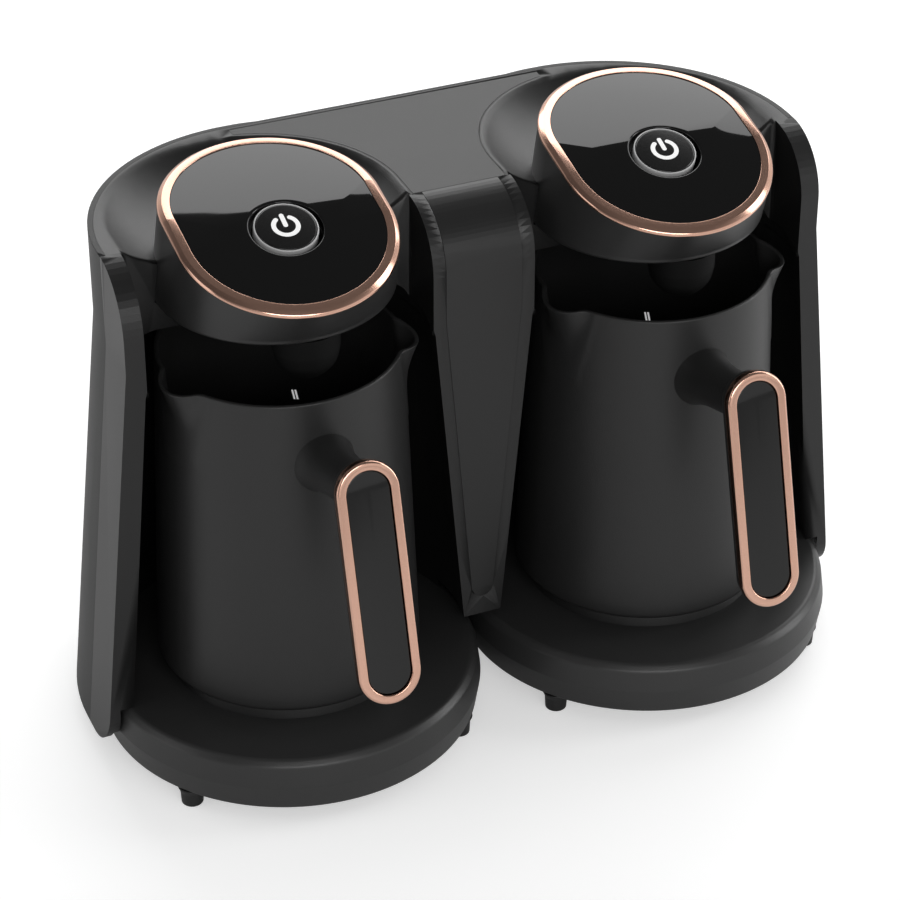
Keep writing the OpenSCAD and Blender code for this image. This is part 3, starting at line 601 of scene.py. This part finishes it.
class Finish:
    """A material, its Principled shader, and one method that adds any node."""
    def __init__(self, name, tree=None):
        if tree is None:
            self.material = bpy.data.materials.new(name)
            self.material.use_nodes = True
            tree = self.material.node_tree
        self.tree = tree
        self.skin = next((n for n in tree.nodes if n.type == "BSDF_PRINCIPLED"), None)
    def add(self, kind, settings=None, output=0, **values):
        node = self.tree.nodes.new(kind)
        for key, value in (settings or {}).items():
            setattr(node, key, value)
        for key, value in values.items():
            self.feed(node.inputs[key.replace("_", " ")], value)
        return Wire(self.tree, node.outputs[output])
    def feed(self, socket, value):
        if isinstance(value, Wire):
            self.tree.links.new(value.socket, socket)
        else:
            socket.default_value = value
    def set(self, **values):
        for key, value in values.items():
            self.feed(self.skin.inputs[key.replace("_", " ")], value)
        return self
    def here(self):
        return self.add("ShaderNodeTexCoord", output=3)
    def noise(self, scale, detail=3.0, roughness=0.55):
        return self.add("ShaderNodeTexNoise", Vector=self.here(), Scale=scale, Detail=detail,
                        Roughness=roughness)
    def ramp(self, value, low, high, start, end):
        """Linear map of a value from [low, high] to [start, end], held at both ends."""
        return self.add("ShaderNodeMapRange", Value=value, From_Min=low, From_Max=high,
                        To_Min=start, To_Max=end)
    def blend(self, share, one, two):
        """Mix of two colours by a share between 0 and 1."""
        node = self.tree.nodes.new("ShaderNodeMix")
        node.data_type = "RGBA"
        for index, value in ((0, share), (6, one), (7, two)):
            self.feed(node.inputs[index], value)
        return Wire(self.tree, node.outputs[2])

def grey(v, warm=0.0):
    return (v * (1 + warm), v, v * (1 - warm), 1.0)

# %% [markdown]
# The moulded parts are satin black plastic: a fine eroded grain breaks up the highlight,
# and faint cloudiness in the roughness stands for handling. On the plain solids a Bevel
# normal rounds the edges that are left sharp; the new surfaces have their own arcs.

# %% Moulded and coated finishes
def grained(name, colour, rough, grain_scale, grain, spread=0.06, edge=0.0005):
    """Satin surface: fine noise lifts the bump and stirs the roughness and the colour."""
    f = Finish(name)
    fine = f.noise(grain_scale, 2.0)
    broad = f.noise(30.0, 2.0)
    darker = tuple(c * 0.82 for c in colour[:3]) + (1.0,)
    lighter = tuple(c * 1.18 for c in colour[:3]) + (1.0,)
    f.set(Base_Color=f.blend(fine * 0.6 + broad * 0.4, darker, lighter))
    f.set(Roughness=rough - spread / 2 + fine * (spread * 0.5) + broad * (spread * 0.5))
    if edge > 0:
        round_edge = f.add("ShaderNodeBevel", {"samples": 6}, Radius=edge)
        f.set(Normal=f.add("ShaderNodeBump", Strength=grain, Distance=0.0002, Height=fine, Normal=round_edge))
    elif grain > 0:
        f.set(Normal=f.add("ShaderNodeBump", Strength=grain, Distance=0.0002, Height=fine))
    return f

LOOK = {}
LOOK["housing_satin"] = grained("housing satin", grey(0.011), 0.38, 2200, 0.16, edge=0)
LOOK["shell_satin"] = grained("shell satin", grey(0.007), 0.5, 2200, 0.16)
LOOK["head_satin"] = grained("head satin", grey(0.022), 0.32, 2200, 0.14, edge=0)
LOOK["deck_grey"] = grained("deck grey", grey(0.022), 0.46, 2600, 0.22, edge=0.0003)
LOOK["pillar_grey"] = grained("pillar grey", grey(0.014), 0.34, 2600, 0.16, edge=0)
LOOK["hood_dark"] = grained("hood black", grey(0.002), 0.7, 2600, 0.1, edge=0).set(Specular_IOR_Level=0.15)
LOOK["pot_black"] = grained("pot coating", grey(0.018), 0.40, 3000, 0.30, edge=0)
LOOK["base_black"] = grained("base satin", grey(0.027), 0.34, 2400, 0.30, edge=0)
LOOK["plate_black"] = grained("hot plate coating", grey(0.012), 0.45, 2600, 0.3, edge=0)
LOOK["soft_black"] = grained("soft black", grey(0.012), 0.46, 2600, 0.25, edge=0)
LOOK["inner_black"] = grained("inner black", grey(0.02), 0.5, 2000, 0.3)
LOOK["button_black"] = grained("button black", grey(0.006), 0.22, 3000, 0.03, edge=0)
LOOK["board_green"] = grained("board green", (0.01, 0.10, 0.035, 1), 0.35, 800, 0.1)
LOOK["board_dark"] = grained("board packages", (0.02, 0.02, 0.03, 1), 0.4, 1500, 0.2)
LOOK["ceramic_cream"] = grained("ceramic cream", (0.6, 0.55, 0.42, 1), 0.6, 1800, 0.3)
LOOK["button_light"] = grained("button light", grey(0.5), 0.35, 2500, 0.05, edge=0)
LOOK["mark_grey"] = grained("printed mark with painted glow", grey(0.75), 0.5, 2500, 0.05, edge=0)
# Painted glow: the grey of the mark is its real print, but it also gives off light of its own, though it is
# no lamp.
LOOK["mark_grey"].set(Emission_Color=grey(0.75), Emission_Strength=0.4)
LOOK["mark_white"] = grained("printed strokes with painted glow", grey(0.8), 0.5, 2500, 0.05, edge=0)
# Painted glow: the white is the strokes' real print, but they also give off light of their own, so they stay
# bright in the pot's shade, though they are no lamp.
LOOK["mark_white"].set(Emission_Color=grey(0.8), Emission_Strength=0.5)
LOOK["black_gloss"] = grained("black gloss", grey(0.0025), 0.035, 3000, 0.0, 0.01, edge=0)
LOOK["inset_gloss"] = grained("inset gloss", grey(0.004), 0.08, 3000, 0.0, 0.01, edge=0)
LOOK["sensor_dark"] = grained("sensor window", (0.02, 0.005, 0.006, 1), 0.06, 3000, 0.0, 0.01)
LOOK["steel"] = grained("plain steel", grey(0.55), 0.3, 1800, 0.1).set(Metallic=1.0)
LOOK["rose_gold"] = grained("rose gold", (0.83, 0.50, 0.38, 1), 0.16, 2500, 0.03, edge=0).set(Metallic=1.0)
print("finishes", len(LOOK))

# %% Put each finish on its pieces and on the nodes that stay
for look, pieces in FINISH.items():
    for piece in pieces:
        piece.data.materials.append(LOOK[look].material)
for entry in frame["record"]["subparts"]:
    node = nodes[entry["node"]]
    node.data.materials.clear()
    node.data.materials.append(LOOK[entry["material_slot"]].material)

# %% [markdown]
# The stage is a pale floor and a soft studio: one broad light high behind, a tall one on
# each side, a wide one in front, and an even world. The world is white for the camera.
# For reflections it is pale near the horizon, dark overhead and dimmer on the left, as a
# studio with pale walls, a black ceiling and a dark screen on one side is.

# %% Floor
bpy.ops.mesh.primitive_plane_add(size=12)
floor = bpy.context.object
floor.name = "floor"
f = Finish("floor white")
f.set(Base_Color=grey(0.80), Roughness=0.55)
seen = f.add("ShaderNodeLightPath", output=0)
f.feed(f.skin.inputs["Emission Color"], f.blend(seen, grey(0.0), grey(0.45)))
f.skin.inputs["Emission Strength"].default_value = 1.0
floor.data.materials.append(f.material)

# %% World and lamps
world = bpy.data.worlds.new("studio")
bpy.context.scene.world = world
world.use_nodes = True
w = Finish("studio", world.node_tree)
camera_ray = w.add("ShaderNodeLightPath", output=0)
gloss_ray = w.add("ShaderNodeLightPath", output=3)
up = w.add("ShaderNodeSeparateXYZ", output=2, Vector=w.add("ShaderNodeTexCoord", output=0))
ceiling = w.ramp(up, 0.25, 0.60, 0.75, 0.13)
across = w.add("ShaderNodeSeparateXYZ", output=0, Vector=w.add("ShaderNodeTexCoord", output=0))
dim_left = w.ramp(across, -0.85, -0.35, 0.3, 1.0)
ambient = gloss_ray * ceiling * dim_left + (1.0 - gloss_ray) * 0.45
strength = camera_ray + (1.0 - camera_ray) * ambient
w.feed(world.node_tree.nodes["Background"].inputs["Strength"], strength)
world.node_tree.nodes["Background"].inputs["Color"].default_value = grey(1.0)

def soft_light(name, at, aim, size, watts):
    """A rectangular lamp at a place in metres, facing an aim point."""
    lamp = bpy.data.lights.new(name, "AREA")
    lamp.shape = "RECTANGLE"
    lamp.size, lamp.size_y = size
    lamp.energy = watts
    o = bpy.data.objects.new(name, lamp)
    bpy.context.collection.objects.link(o)
    o.location = at
    o.rotation_euler = (Vector(aim) - Vector(at)).to_track_quat("-Z", "Y").to_euler()
    return o

soft_light("back light", (0.62, 1.05, 0.98), (0, 0, 0.2), (2.4, 0.75), 14)
soft_light("left light", (-1.5, 0.05, 0.55), (0, 0, 0.12), (0.7, 1.2), 2.2)
soft_light("right light", (1.5, -0.35, 0.6), (0, 0, 0.12), (0.5, 1.2), 7)
soft_light("front light", (-0.3, -1.7, 0.95), (0, 0, 0.12), (1.3, 0.5), 9)
print("lamps", len(bpy.data.lights))

# %% [markdown]
# The camera looks down from the front left with a long lens, so the round bases look
# nearly like the ovals of a drawing.

# %% Camera
az, el = math.radians(-22.84), math.radians(33.147)
target = Vector((-0.00851, 0.00729, 0.09943))
back_dir = Vector((math.sin(az) * math.cos(el), -math.cos(az) * math.cos(el), math.sin(el)))
cam = bpy.data.cameras.new("camera")
cam.sensor_width = 36.0
cam.lens = 3186.6 / 900 * 36
camera = bpy.data.objects.new("camera", cam)
bpy.context.collection.objects.link(camera)
camera.location = target + back_dir * 1.1447
camera.rotation_euler = back_dir.to_track_quat("Z", "Y").to_euler()
bpy.context.scene.camera = camera
bpy.context.scene.view_settings.view_transform = "Standard"
print("camera", [round(c, 4) for c in camera.location])
